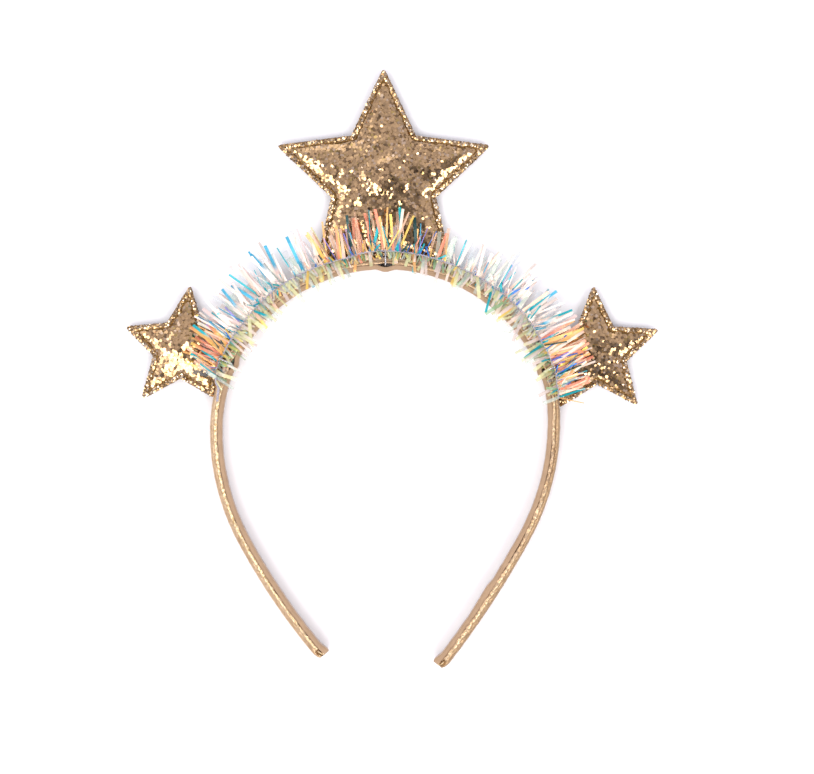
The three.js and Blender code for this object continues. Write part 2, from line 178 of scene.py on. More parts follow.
BACK_PUFF = 2.4 * MM
FACE_GAP = 0.15 * MM
RIM_EDGE = 0.5 * MM
RIM_ROUND = 0.6 * MM
RIM_HIGH = 0.85 * MM
SEAM_INSET = 1.8 * MM
SEAM_DEEP = 0.45 * MM
SEAM_WIDE = 0.38 * MM
SEAM_WANDER = 0.16 * MM
SEAM_BRIDGED = 0.3
PILLOW_POWER = 0.85
PILLOW_EDGE_SHARE = 0.42
PILLOW_EDGE_ROUND = 2.0 * MM
PILLOW_WAVE = 0.12 * MM
PILLOW_PUCKER = 0.035 * MM
RELIEF_PITCH = 0.4 * MM
RELIEF_MARGIN = 4 * RELIEF_PITCH
MEMBRANE_ROUNDS = 260
OUTLINE_STEP = 0.6 * MM
PANEL_EDGE_SHARE = 0.9
PANEL_FINE_TO = 4.6 * MM
PANEL_FINE_STEP = 0.3 * MM
PANEL_COARSE_RINGS = 18
PANEL_INNERMOST = 0.97

# Glitter: small six-sided flakes that lie nearly flat on the faces, with a bare line along the seam
FLAKE_CORNERS = 6
FLAKE_RADIUS = 0.6 * MM
FLAKE_SPACING = 0.88 * MM
FLAKE_JITTER = 0.3
FLAKE_LIFT = (0.03 * MM, 0.16 * MM)
FLAKE_TILT = math.radians(2.1)
LOOSE_FLAKE_TILT = math.radians(9.0)
LOOSE_FLAKE_SHARE = 0.06
FLAKE_RANGE = (0.87, 1.1)
RIM_FLAKE_RADIUS = 0.36 * MM
RIM_FLAKE_RANGE = (0.6, 1.3)
RIM_FLAKE_SPACING = 0.5 * MM
RIM_FLAKE_TILT = math.radians(13.0)
SEAM_BARE = 0.14 * MM
FLAKE_COLOURS = table(
    "colour share",
    ((0.575, 0.364, 0.171), 0.76), ((0.6, 0.43, 0.28), 0.09), ((0.25, 0.145, 0.062), 0.12),
    ((0.48, 0.32, 0.1), 0.03),
)
RIM_FLAKE_COLOURS = table(
    "colour share",
    ((0.46, 0.29, 0.135), 0.58), ((0.68, 0.54, 0.38), 0.21), ((0.24, 0.132, 0.038), 0.21),
)
SHADE_RANGE = (0.72, 1.17)

# Stitches along each star's seam: arched threads with thin ends
STITCH_PITCH = 2.4 * MM
STITCH_LENGTH = 2.25 * MM
STITCH_RADIUS = 0.16 * MM
STITCH_LOW = 0.2
STITCH_ARCH = 0.9
STITCH_TAPER = 0.9
STITCH_TAPER_POWER = 4
STITCH_POINTS = 7
STITCH_SIDES = 6

# Ripples: seeds and wavelengths in mm of what is uneven
RIPPLES = table(
    "kind seed shortest longest",
    ("crest_out", 1, 0.9, 3.0), ("crest_up", 2, 0.9, 2.4), ("skin", 3, 1.2, 5.0), ("lining", 4, 5.0, 30.0),
    ("crest_line", 5, 4.0, 25.0), ("pillow", 0, 6.0, 18.0), ("pucker", 100, 3.0, 7.0),
    ("seam", 200, 3.0, 12.0),
)
RIPPLE_WAVES = 28

# Tinsel garland: a twisted two-ply thread, beside the band and then over it at both ends, with strips of film
CORE = dict(
    at=np.array([-86.4, -82.0, -79.5, -76.0, -70.0, -55.0, -40.0, -24.0, -15.0, -3.0, 20.0, 54.0, 68.0, 77.5,
                 83.0, 87.1]) * MM,
    out=np.array([0.3, 0.7, 2.4, 4.1, 3.8, 3.6, 3.9, 3.4, 3.2, 4.5, 4.1, 4.3, 3.3, 3.1, 2.3, 2.0]) * MM,
    up=np.array([9.9] * 3 + [7.2] * 11 + [9.9] * 2) * MM,
)
TUBE_SIDES = 8
PLY_RADIUS = 0.26 * MM
PLY_OFFSET = 0.23 * MM
PLY_TWIST = 2.3 * MM
PLY_STEP = 0.25 * MM
# Along the garland: how the strips are combed in degrees, and for each tuft how far its strips reach in mm
# and how many leave each mm
TINSEL = dict(
    at=[-79.5, -75, -66, -59, -50, -30, -22, -6, 6, 13, 24, 30, 45, 60, 68, 80, 87],
    combed=[18, 14, 6, 0, 0, 0, -6, 0, 0, 0, 0, 0, 0, 0, 5, -10, -18],
    outward=[9, 15, 17, 17, 18.5, 18.5, 16, 17, 17, 15, 14, 16.5, 17, 17, 17, 16, 11],
    outward_crowd=[0.9, 1.9, 2.2, 1.4, 0.8, 0.8, 1.3, 1.5, 1.3, 0.4, 0.35, 0.7, 0.8, 1.1, 1.9, 1.9, 1],
    inward=[11, 12, 12.5, 12.5, 12, 11, 10, 8.5, 8, 9, 10, 11, 12, 13, 13, 11, 8],
    inward_crowd=[0.5, 0.7, 0.8, 0.8, 0.8, 0.6, 0.5, 0.35, 0.3, 0.5, 0.6, 0.7, 0.8, 0.8, 0.6, 0.5, 0.3],
    haze=11,
    haze_crowd=[0.3, 0.5, 0.6, 0.8, 1, 0.9, 0.5, 0.2, 0.2, 0.2, 0.3, 0.9, 1, 0.8, 0.6, 0.4, 0.2],
    bits=5.5,
    bits_crowd=0.9,
    slivers=13,
    slivers_crowd=[0.6, 1.2, 1.3, 0.9, 0.6, 0.5, 0.6, 0.6, 0.6, 0.4, 0.4, 0.4, 0.5, 0.7, 1.3, 1.4, 0.8],
    wraps=[6, 6, 6, 6, 6, 6, 5.5, 4.2, 4, 5, 6, 6, 6, 6, 6, 6, 6],
    wraps_crowd=[1.2, 2, 2.4, 2.4, 2.4, 2.2, 2.6, 2.6, 2.6, 2.6, 2.6, 2.4, 2.4, 2.4, 2.4, 1.8, 1],
)
STRIP_SEED = 7
STRIP_FINE_STEPS = 2000
STRIP_SEGMENTS = 6
STRIP_SHORTEST = 0.35
STRIP_ROLL = math.radians(9.0)
STRIP_CREASE = math.radians(1.2)
TWISTED_SHARE = 0.14
TWISTED_ROLL = math.radians(55.0)

# Tufts of strips, in mm and degrees: they rise from the core on one side by `start`, with a spread and at
# least by `least`, fall over to `end`, and lean to both sides. `colours` are their groups of film over the
# centre star, the side stars and open ground.
TUFTS = table(
    "reach side wide lean start end spread least colours",
    # haze: wide pale grey strips lying low, partly clear film and partly painted shade for the shadow under
    # the garland
    ("haze", 1, (1.2, 2.0), 13, 16, 0, 8, 5, ("haze", "haze", "haze")),
    ("outward", 1, (0.6, 1.2), 10, 24, 8, 8, 5, ("centre", "side", "open")),
    ("slivers", 1, (0.22, 0.55), 14, 34, 6, 14, 8, ("sliver", "sliver", "open")),
    ("inward", -1, (0.8, 1.4), 13, 50, -4, 9, 40, ("inward", "inward", "inward")),
    ("bits", 1, (0.3, 0.7), 30, 50, 15, 22, 8, ("sliver", "sliver", "open")),
    ("wraps", -1, (0.35, 0.9), 18, 56, -6, 13, 42, ("wrap", "wrap", "inward")),
)
FILM_ZONES = ("centre", "side", "open")

# Film: the colour it shines, the tint it lets through, how much it covers, and its shares in the groups:
# over the centre star, the side stars and open ground, inwards, round the core, in the haze, in the slivers
FILM_GROUPS = ("centre", "side", "open", "inward", "wrap", "haze", "sliver")
FILM_COLOURS = table(
    "name shine tint cover shares",
    ("peach", (0.93, 0.58, 0.41), (1, 0.95, 0.92), 0.7, (0.09, 0.37, 0.03, 0.03, 0.04, 0, 0.12)),
    ("tan", (0.56, 0.34, 0.22), (0.98, 0.9, 0.84), 0.55, (0.27, 0.05, 0, 0, 0.06, 0, 0.1)),
    ("orange", (0.98, 0.49, 0.16), (1, 0.9, 0.75), 0.72, (0.18, 0.19, 0, 0.02, 0.07, 0, 0.15)),
    ("salmon", (0.82, 0.27, 0.16), (1, 0.85, 0.8), 0.64, (0.2, 0.12, 0, 0.01, 0.03, 0, 0.1)),
    ("yellow", (0.95, 0.64, 0.13), (1, 0.95, 0.75), 0.66, (0.08, 0.1, 0, 0.05, 0.06, 0, 0.11)),
    ("white", (0.95, 0.8, 0.66), (1, 1, 0.98), 0.7, (0.01, 0.11, 0.14, 0.12, 0.03, 0, 0.05)),
    ("cream", (0.73, 0.61, 0.53), (1, 0.98, 0.95), 0.8, (0, 0, 0.33, 0.14, 0, 0.1, 0)),
    ("pink", (0.74, 0.56, 0.51), (1, 0.95, 0.95), 0.8, (0, 0, 0.15, 0.02, 0, 0.1, 0)),
    # clear and mint make up most of the haze, whose grey stands partly for painted shade
    ("clear", (0.5, 0.55, 0.57), (0.94, 0.96, 0.97), 0.18, (0.06, 0.02, 0.05, 0.04, 0.2, 0.5, 0)),
    ("teal", (0.01, 0.4, 0.45), (0.05, 0.55, 0.6), 0.76, (0.05, 0.04, 0.11, 0.02, 0.03, 0, 0.14)),
    ("deep_teal", (0.01, 0.06, 0.06), (0.12, 0.3, 0.3), 0.66, (0.08, 0.02, 0, 0, 0.04, 0, 0.07)),
    ("blue", (0.02, 0.16, 0.55), (0.06, 0.35, 0.8), 0.72, (0.01, 0.01, 0.04, 0, 0, 0, 0.08)),
    ("violet", (0.24, 0.2, 0.58), (0.65, 0.6, 0.95), 0.62, (0, 0, 0.03, 0, 0, 0, 0.06)),
    ("cyan", (0.03, 0.33, 0.5), (0.25, 0.68, 0.85), 0.72, (0, 0.02, 0.09, 0.01, 0, 0, 0.06)),
    ("lime", (0.76, 0.76, 0.41), (0.95, 0.98, 0.82), 0.58, (0, 0, 0, 0.28, 0.12, 0, 0)),
    ("mint", (0.62, 0.7, 0.59), (0.93, 0.98, 0.95), 0.5, (0, 0, 0, 0.26, 0.06, 0.3, 0)),
    ("leaf", (0.3, 0.52, 0.27), (0.88, 0.97, 0.86), 0.55, (0, 0, 0, 0.03, 0.22, 0, 0)),
    ("olive", (0.6, 0.56, 0.16), (0.97, 0.95, 0.75), 0.6, (0.02, 0, 0, 0, 0.12, 0, 0.03)),
)
STAR_COLOUR_MARGIN = 3.0 * MM
SECOND_COLOUR_SHARE = 0.4
COLOUR_CHANGE_AT = (0.15, 1.0)
COLOUR_CHANGE_SOFT = 0.15
FILM_RANGE = (0.85, 1.15)

# Ties: twisted wires from the core over the band's crest and into the slit behind the lining
TIE_OVER_CORE = np.array([(0.6, 1.1), (0.0, 1.4)]) * MM
TIE_OVER_BAND = np.array([(1.85, 9.5), (1.0, 9.6), (-0.275, 9.3), (-0.875, 8.7), (-0.875, 6.5)]) * MM
TIE_STEPS = 40
TIE_PLY_RADIUS = 0.19 * MM
TIE_PLY_OFFSET = 0.18 * MM
TIE_TURNS = 4.0

# Camera: straight above the hoop, with the photograph's scale at the level of the stars
IMAGE_WIDE = 814
PIXEL_WIDE = 0.37 * MM
CAMERA_AIM = np.array([5.44, -6.55, 4.0]) * MM
CAMERA_AWAY = 0.9
SENSOR_WIDE = 36.0

# Room
FLOOR_HALF = 3.0
SOFTBOXES = table(
    "name place side watts colour",
    ("key", (-0.45, -0.41, 1.37), 0.7, 7.4, (1.0, 0.97, 0.92)),
    ("right", (0.72, -0.42, 1.28), 0.62, 6.0, (1.0, 0.98, 0.95)),
    ("back", (-0.3, 1.05, 1.1), 0.9, 1.9, (0.98, 0.98, 1.0)),
    ("front", (0.1, -1.05, 1.1), 0.9, 7.5, (1.0, 0.98, 0.96)),
    ("left", (-1.1, 0.1, 1.1), 0.8, 3.9, (0.98, 0.98, 1.0)),
)
SKY_COLOUR = (0.89, 0.87, 1.0)
SKY_DARK_AXIS = (0.09, -0.19, 0.9777)
SKY_STOPS = [
    (0.0, 0.86), (0.5, 0.9), (0.85, 0.94), (0.935, 0.92), (0.958, 0.7), (0.977, 0.42), (0.99, 0.28),
    (1.0, 0.25),
]


# Places along the hoop

def hoop_at(places):
    """The middle line's points (n, 2) and outward directions (n, 2) at distances from the crown."""
    points, outward = np.zeros((2, len(places), 2))
    for side, stretches in HOOP_STRETCHES.items():
        here = places < 0 if side < 0 else places >= 0
        remaining = np.abs(places[here])
        angle, across, down = np.zeros((3, len(remaining)))
        for row in stretches:
            length = row["length"] * MM
            step = np.minimum(remaining, length)
            radius = length / math.radians(row["turn"])
            turned = angle + step / radius
            across += radius * (np.sin(turned) - np.sin(angle))
            down += radius * (np.cos(angle) - np.cos(turned))
            angle = turned
            remaining = remaining - step
        points[here] = CROWN + np.stack([side * across, -down], axis=1)
        outward[here] = np.stack([side * np.sin(angle), np.cos(angle)], axis=1)
    return points, outward


def beside_hoop(places, out, up):
    """Points `out` from the middle line, away from the head, and `up` above the table."""
    points, outward = hoop_at(places)
    return with_last(points + outward * np.asarray(out)[..., None], up)


def with_last(rows, last):
    """Rows with one more number each."""
    return np.concatenate([rows, np.broadcast_to(last, rows.shape[:-1])[..., None]], axis=-1)


def share_between(values, start, end):
    """How far values are on the way from a start to an end, from 0 to 1."""
    return np.clip((values - start) / (end - start), 0.0, 1.0)


def eased(place, rows, column):
    """A table's column read between its rows with a soft start and stop."""
    at = np.asarray(rows["at"])
    values = np.asarray(rows[column])
    after = np.clip(np.searchsorted(at, place), 1, len(at) - 1)
    share = share_between(place, at[after - 1], at[after])
    share = share * share * (3.0 - 2.0 * share)
    return values[after - 1] + (values[after] - values[after - 1]) * share


def eased_columns(place, rows, *columns):
    """Several of a table's columns, each (n, 1)."""
    return [eased(place, rows, column)[:, None] for column in columns]


def ripples(kind, places, seed=0):
    """Smooth random numbers of about unit size at places (n, d), with a kind's range of wavelengths."""
    row = next(row for row in RIPPLES if row["kind"] == kind)
    rng = np.random.default_rng(row["seed"] + seed)
    shortest, longest = math.log(row["shortest"] * MM), math.log(row["longest"] * MM)
    lengths = np.exp(rng.uniform(shortest, longest, RIPPLE_WAVES))
    directions = unit(rng.normal(size=(RIPPLE_WAVES, places.shape[1])))
    phases = rng.uniform(0.0, math.tau, RIPPLE_WAVES)
    turns = places @ (directions * (math.tau / lengths)[:, None]).T
    return np.sin(turns + phases).sum(axis=1) * math.sqrt(2.0 / RIPPLE_WAVES)


def unit(vectors):
    return vectors / np.linalg.norm(vectors, axis=-1, keepdims=True)


# Meshes from arrays

def add_object(name, data):
    thing = bpy.data.objects.new(name, data)
    bpy.context.scene.collection.objects.link(thing)
    return thing


def add_piece(name, points, faces, material, replaces=None, smooth=True, colours=None):
    """A joined mesh that rides on the headband.

    `faces` is a list of index arrays, one for each face size. `colours` holds a row for each point.
    """
    mesh = bpy.data.meshes.new(name)
    face_list = [face for group in faces for face in group.tolist()]
    mesh.from_pydata(points.tolist(), [], face_list, shade_flat=not smooth)
    corners = np.concatenate([group.ravel() for group in faces])
    for key, values in (colours or {}).items():
        layer = mesh.attributes.new(key, "FLOAT_COLOR", "CORNER")
        layer.data.foreach_set("color", with_last(values, 1.0)[corners].astype(np.float32).ravel())
    mesh.materials.append(material)
    piece = add_object(name, mesh)
    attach(piece, BODY)
    if replaces:
        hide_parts(replaces)
    return piece


def numbered(*shape):
    """The numbers of points that are laid out in a grid."""
    return np.arange(math.prod(shape)).reshape(shape)


def ring_walls(index):
    """Quads between rings of points that each close on themselves, by their numbers (..., rings, points)."""
    beside = np.roll(index, -1, axis=-1)
    corners = [index[..., :-1, :], beside[..., :-1, :], beside[..., 1:, :], index[..., 1:, :]]
    return np.stack(corners, axis=-1).reshape(-1, 4)


def capped_faces(index):
    """Closed sweeps (n, rings, points): walls between their rings and one face on each end."""
    return [ring_walls(index), index[:, 0, ::-1], index[:, -1]]


def circles(first, second, count):
    """Points round unit circles that each lie along two directions."""
    angles = math.tau * np.arange(count) / count
    return first[..., None, :] * np.cos(angles)[:, None] + second[..., None, :] * np.sin(angles)[:, None]


def tubes(paths, radii, sides, across):
    """Round tubes along paths (n, k, 3), as points and faces. `across` never lies along a path."""
    along = unit(np.gradient(paths, axis=1))
    first = unit(np.cross(along, across))
    radii = np.broadcast_to(radii, paths.shape[:2])[..., None, None]
    points = paths[:, :, None] + radii * circles(first, np.cross(along, first), sides)
    return points.reshape(-1, 3), capped_faces(numbered(*points.shape[:3]))


def smooth_loop(corners, per_corner):
    """Points on a smooth closed curve through corners."""
    share = (np.arange(per_corner) / per_corner)[None, :, None]
    before, here, after, beyond = [np.roll(corners, shift, axis=0)[:, None] for shift in (1, 0, -1, -2)]
    square = 2.0 * before - 5.0 * here + 4.0 * after - beyond
    cube = 3.0 * (here - after) + beyond - before
    curve = here + 0.5 * share * (after - before + share * (square + share * cube))
    return curve.reshape(-1, corners.shape[1])


# Materials

def set_inputs(node, **inputs):
    """A node's named inputs set to numbers or joined to other nodes' outputs."""
    for key, value in inputs.items():
        socket = node.inputs[key.replace("_", " ")]
        if isinstance(value, bpy.types.NodeSocket):
            node.id_data.links.new(value, socket)
        else:
            socket.default_value = value


def add_node(tree, kind, **inputs):
    node = tree.nodes.new("ShaderNode" + kind)
    set_inputs(node, **inputs)
    return node


def new_material(name, **inputs):
    material = bpy.data.materials.new(name)
    material.use_nodes = True
    shader = material.node_tree.nodes["Principled BSDF"]
    set_inputs(shader, **inputs)
    return material, material.node_tree, shader


def add_noise(tree, scale, detail):
    place = add_node(tree, "TexCoord").outputs["Object"]
    noise = add_node(tree, "TexNoise", Vector=place, Scale=scale, Detail=detail, Roughness=NOISE_ROUGHNESS)
    return noise.outputs["Fac"]


def add_ramp(tree, source, stops):
    """Colours at positions along a source between 0 and 1."""
    ramp = add_node(tree, "ValToRGB", Fac=source)
    elements = ramp.color_ramp.elements
    while len(elements) < len(stops):
        elements.new(0.5)
    for element, (position, colour) in zip(elements, stops):
        element.position = position
        element.color = (*colour, 1.0)
    return ramp.outputs["Color"]


def add_bump(tree, source, strength, distance):
    return add_node(tree, "Bump", Height=source, Strength=strength, Distance=distance).outputs["Normal"]


def grey(value):
    return (value, value, value)


def add_colour(tree, layer):
    """The colours that a mesh carries under a name."""
    colour = add_node(tree, "VertexColor")
    colour.layer_name = layer
    return colour.outputs["Color"]


def add_mix(tree, share, first, second):
    mix = add_node(tree, "Mix")
    mix.data_type = "RGBA"
    set_inputs(mix, Factor=share, A=first, B=second)
    return mix.outputs["Result"]


def toned_material(name, stops, scale, detail, bump=None, **inputs):
    """A material whose base colours, and its bumps where it has them, follow a noise."""
    material, tree, shader = new_material(name, **inputs)
    noise = add_noise(tree, scale, detail)
    set_inputs(shader, Base_Color=add_ramp(tree, noise, stops))
    if bump:
        set_inputs(shader, Normal=add_bump(tree, noise, **bump))
    return material


def leatherette_material():
    """Gold coating with a painted highlight on the crest and painted shade in the folds, groove, slit and
    ends.
    """
    material, tree, shader = new_material("gold_leatherette", Metallic=0.7)
    plain = add_ramp(tree, add_noise(tree, scale=420.0, detail=5.0), [
        (0.3, (0.42, 0.275, 0.15)), (0.5, (0.51, 0.35, 0.205)), (0.72, (0.58, 0.42, 0.265)),
    ])
    # The crest's colours are a painted highlight, broken up by lumps of noise, and the fold colours painted
    # shade
    lumps = add_noise(tree, scale=1000.0, detail=3.0)
    crest = add_ramp(tree, lumps, [(0.38, (0.48, 0.315, 0.13)), (0.58, (0.82, 0.665, 0.42))])
    painted_shade = add_ramp(tree, lumps, [(0.35, (0.29, 0.185, 0.092)), (0.65, (0.4, 0.265, 0.145))])
    paler = add_mix(tree, add_colour(tree, "crest"), plain, crest)
    grain = add_noise(tree, scale=1700.0, detail=4.0)
    set_inputs(
        shader, Base_Color=add_mix(tree, add_colour(tree, "painted_shade"), paler, painted_shade),
        Roughness=add_ramp(tree, grain, [(0.35, grey(0.26)), (0.65, grey(0.46))]),
        Normal=add_bump(tree, grain, strength=0.7, distance=0.14 * MM),
    )
    return material


def lining_material():
    stops = [(0.3, (0.33, 0.212, 0.12)), (0.7, (0.385, 0.252, 0.146))]
    material = toned_material("tan_lining", stops, scale=260.0, detail=3.0, Roughness=0.8, Sheen_Weight=0.25)
    tree = material.node_tree
    nap = add_noise(tree, scale=2600.0, detail=3.0)
    set_inputs(tree.nodes["Principled BSDF"], Normal=add_bump(tree, nap, strength=0.35, distance=0.06 * MM))
    return material


def backing_material():
    """The fine glitter that shows between the flakes."""
    stops = [(0.35, (0.08, 0.038, 0.01)), (0.55, (0.2, 0.105, 0.026)), (0.68, (0.46, 0.27, 0.05))]
    bump = dict(strength=0.8, distance=0.15 * MM)
    return toned_material(
        "glitter_backing", stops, scale=2400.0, detail=3.0, bump=bump, Metallic=0.7, Roughness=0.42)


def flake_material():
    material, tree, shader = new_material(
        "gold_glitter_flakes", Metallic=1.0, Roughness=0.055, Coat_Weight=0.8, Coat_Roughness=0.06)
    set_inputs(shader, Base_Color=add_colour(tree, "flake"))
    return material


def stitch_material():
    stops = [(0.35, (0.18, 0.08, 0.014)), (0.65, (0.34, 0.175, 0.04))]
    return toned_material("gold_stitch_thread", stops, scale=1900.0, detail=2.0, Metallic=0.3, Roughness=0.5)


def thread_material():
    stops = [(0.3, (0.32, 0.295, 0.34)), (0.7, (0.5, 0.47, 0.52))]
    bump = dict(strength=0.4, distance=0.08 * MM)
    return toned_material("grey_thread", stops, scale=1500.0, detail=3.0, bump=bump, Roughness=0.55)


def film_material():
    """Thin film that shines in one colour and tints what shows through it."""
    material, tree, shader = new_material("iridescent_film", Metallic=0.25, Roughness=0.24)
    set_inputs(shader, Base_Color=add_colour(tree, "shine"))
    clear = add_node(tree, "BsdfTransparent", Color=add_colour(tree, "tint"))
    mix = add_node(tree, "MixShader", Fac=add_colour(tree, "cover"))
    tree.links.new(clear.outputs["BSDF"], mix.inputs[1])
    tree.links.new(shader.outputs["BSDF"], mix.inputs[2])
    set_inputs(tree.nodes["Material Output"], Surface=mix.outputs["Shader"])
    return material


def wire_material():
    stops = [(0.35, grey(0.48)), (0.65, grey(0.78))]
    return toned_material("silver_wire", stops, scale=1800.0, detail=2.0, Metallic=1.0, Roughness=0.25)


def floor_material():
    stops = [(0.3, grey(0.88)), (0.7, grey(0.9))]
    return toned_material("white_floor", stops, scale=1.5, detail=2.0, Roughness=0.9, Specular_IOR_Level=0.1)


# Hoop

HOOP_PLACES = np.linspace(LEFT_END, RIGHT_END, round((RIGHT_END - LEFT_END) / HOOP_STEP))
FROM_END = np.minimum(HOOP_PLACES - LEFT_END, RIGHT_END - HOOP_PLACES)


def sweep_points(out, up):
    """Points of a sweep whose section at each hoop place is a row of `out` and `up`."""
    return beside_hoop(np.repeat(HOOP_PLACES, out.shape[1]), out.ravel(), up.ravel())


def band_tones(section, crest, ending):
    """How far each point has the crest's painted highlight, or painted shade as in the folds, groove, slit
    and ends.
    """
    # The painted highlight is dimmed along the hoop, and the right leg's outer side gets painted shade
    highlight_dimmed, groove, painted_side_shading = eased_columns(HOOP_PLACES, CREST_SHADE, "highlight_dimmed", "groove", "painted_side_shading")
    inner_side = share_between(section[:, 0] * MM, SIDE_SHADE_FROM, SIDE_SHADE_TO)
    kept = (1.0 - highlight_dimmed) * (1.0 - painted_side_shading * inner_side)
    slit = 1.0 - SIDE_SHADE_SLIT * painted_side_shading * inner_side
    # Near the ends the crest's painted highlight turns to painted shade
    tone = section[:, 2] * (1.0 - ending) - crest * ending
    tone = np.where(tone > 0.0, tone * kept, tone * slit)
    # Painted shade in the groove, then on the right leg's outer side
    tone = tone - GROOVE_SHADE * np.clip(section[:, 3], 0.0, 1.0) * groove
    tone = tone - SIDE_SHADE_TONE * painted_side_shading * (1.0 - inner_side) * np.clip(1.0 - np.abs(tone), 0.0, 1.0)
    tones = dict(crest=np.clip(tone, 0.0, 1.0), painted_shade=np.clip(-tone, 0.0, 1.0))
    return {key: np.repeat(values.reshape(-1, 1), 3, axis=1) for key, values in tones.items()}


def build_band():
    section = smooth_loop(BAND_SECTION, SECTION_POINTS)
    shape = len(HOOP_PLACES), len(section)
    out = np.broadcast_to(section[:, 0] * MM, shape)
    up = np.broadcast_to(section[:, 1] * MM, shape)
    crest = share_between(up, CREST_FROM, CREST_TO)
    lip = share_between(out, LIP_FROM, LIP_TO) * np.clip(crest + LIP_LOW, 0.0, 1.0)
    ending = np.clip((CREST_END - FROM_END) / CREST_END_SOFT, 0.0, 1.0)[:, None]
    places = np.stack([np.repeat(HOOP_PLACES, len(section)), out.ravel(), up.ravel()], axis=1)
    kinds = ("crest_out", "crest_up", "skin")
    crest_out, crest_up, skin = [ripples(kind, places).reshape(shape) for kind in kinds]
    wander = CREST_WANDER * ripples("crest_line", HOOP_PLACES[:, None])[:, None]
    groove, crinkled, shift = eased_columns(HOOP_PLACES, CREST_SHADE, "groove", "crinkled", "shift")
    crinkle = CREST_CRINKLE * crinkled
    out = out + crest * (crinkle * crest_out + wander + shift)
    out = out + SKIN_CRINKLE * skin * np.sign(out - BAND_MIDDLE)
    out = out + lip * lining_lift(HOOP_PLACES, LINING_LIFTS)[:, None] / 2
    up = up + crinkle * crest * crest_up - CREST_END_DROP * crest * ending
    up = up - GROOVE_DEEP * np.clip(section[:, 3], 0.0, 1.0) * groove
    thick, high, inward = eased_columns(FROM_END, BAND_TIP, "thick", "high", "inward")
    out = BAND_MIDDLE - inward + (out - BAND_MIDDLE) * thick
    up = BAND_HIGH / 2 + (up - BAND_HIGH / 2) * high
    material = leatherette_material()
    add_piece("band_cover", sweep_points(out, up), capped_faces(numbered(1, *shape)), material,
              replaces="band", colours=band_tones(section, crest, ending))
    build_tip_folds(material)


def build_tip_folds(material):
    """Upright pleats with round backs."""
    shares = np.linspace(-1.0, 1.0, TIP_FOLD_POINTS)
    middles, radii = [], []
    for row in TIP_FOLDS:
        place, towards_end = (LEFT_END, -1.0) if row["end"] == "left" else (RIGHT_END, 1.0)
        along = row["long"] * MM / 2 * shares
        turn = math.radians(row["turn"])
        places = place + towards_end * (along * math.cos(turn) - row["back"] * MM)
        middles.append(beside_hoop(places, row["out"] * MM + along * math.sin(turn), 0.0))
        radii.append(row["wide"] * MM / 2 * np.sqrt(np.clip(TIP_FOLD_BLUNT - shares ** 2, 0.0, 1.0)))
    points, faces = tubes(np.array(middles), np.array(radii), TIP_FOLD_SIDES, UP)
    for pleat, row in zip(np.split(points, len(TIP_FOLDS)), TIP_FOLDS):
        share = np.clip(2.0 * pleat[:, 2] / (row["wide"] * MM), -1.0, 1.0)
        rise = 0.5 + 0.5 * np.sign(share) * np.abs(share) ** TIP_FOLD_SQUARE
        pleat[:, 2] = TIP_FOLD_LOW + (row["top"] * MM - TIP_FOLD_LOW) * rise
    # The pleats carry the crest's painted highlight and no painted shade
    colours = dict(crest=np.full(points.shape, TIP_FOLD_HIGHLIGHT), painted_shade=np.zeros(points.shape))
    add_piece("tip_folds", points, faces, material, colours=colours)


def lining_lift(places, rows):
    total = np.zeros_like(places)
    for row in rows:
        away = places - row["at"] * MM
        reach = np.where(away < 0.0, row["before"], row["after"]) * MM
        share = np.minimum(np.abs(away) / reach, 1.0)
        total += row["lift"] * MM * np.cos(share * math.pi / 2) ** 2
    return total


def build_lining():
    section = smooth_loop(LINING_SECTION, SECTION_POINTS)
    wave = LINING_WAVE * np.abs(ripples("lining", HOOP_PLACES[:, None]))[:, None]
    lift = lining_lift(HOOP_PLACES, LINING_LIFTS)[:, None]
    lap = lining_lift(HOOP_PLACES, LINING_LAPS)[:, None]
    thick, high, inward = eased_columns(FROM_END, LINING_TIP, "thick", "high", "inward")
    middle = LINING_MIDDLE - inward - wave - lift - lap / 2
    out = middle + section[:, 0] * (LINING_THICK * thick + lap) / 2
    up = BAND_HIGH / 2 + (section[:, 1] - 0.5) * LINING_HIGH * high
    add_piece("lining_strip", sweep_points(out, up), capped_faces(numbered(1, *out.shape)), lining_material(),
              replaces="lining")


# Stars

def star_middle(star):
    return np.multiply(star["middle"], MM)


def star_corner(star, corner):
    angle = math.radians(star["turn"]) + math.tau * corner / STAR_CORNERS
    radius = star["reach"] * MM * (1.0 if corner % 2 == 0 else star["waist"])
    pull = np.multiply(star["pulls"].get(corner % STAR_CORNERS, (0.0, 0.0)), MM)
    return star_middle(star) + radius * np.array([-math.sin(angle), math.cos(angle)]) + pull


def blunt_tip(star, corner):
    """Points on a round end between the edges of a tip."""
    tip = star_corner(star, corner)
    first = tip + STAR_TIP_CUT * unit(star_corner(star, corner - 1) - tip)
    last = tip + STAR_TIP_CUT * unit(star_corner(star, corner + 1) - tip)
    share = np.linspace(0.0, 1.0, STAR_TIP_POINTS)[:, None]
    start, pull, end = (1.0 - share) ** 2, 2.0 * STAR_TIP_PULL * share * (1.0 - share), share ** 2
    return list((start * first + pull * tip + end * last) / (start + pull + end))


def star_corners(star):
    """The outline turning left: round the free points, then along the hoop."""
    free = []
    for step in range(STAR_BASE_CORNERS, STAR_CORNERS):
        corner = star["first_base"] + step
        free.extend(blunt_tip(star, corner) if corner % 2 == 0 else [star_corner(star, corner)])
    start, end = np.multiply(star["base"], MM)
    places = np.linspace(start, end, round((end - start) / STAR_BASE_STEP))
    base = beside_hoop(places, np.full(len(places), STAR_BASE_OUT), 0.0)[:, :2]
    return np.concatenate([np.array(free), base])


def closed_line(corners):
    """An outline that ends where it starts, and the distance along it at each point."""
    points = np.concatenate([corners, corners[:1]])
    steps = np.linalg.norm(np.diff(points, axis=0), axis=1)
    return points, np.concatenate([[0.0], np.cumsum(steps)])


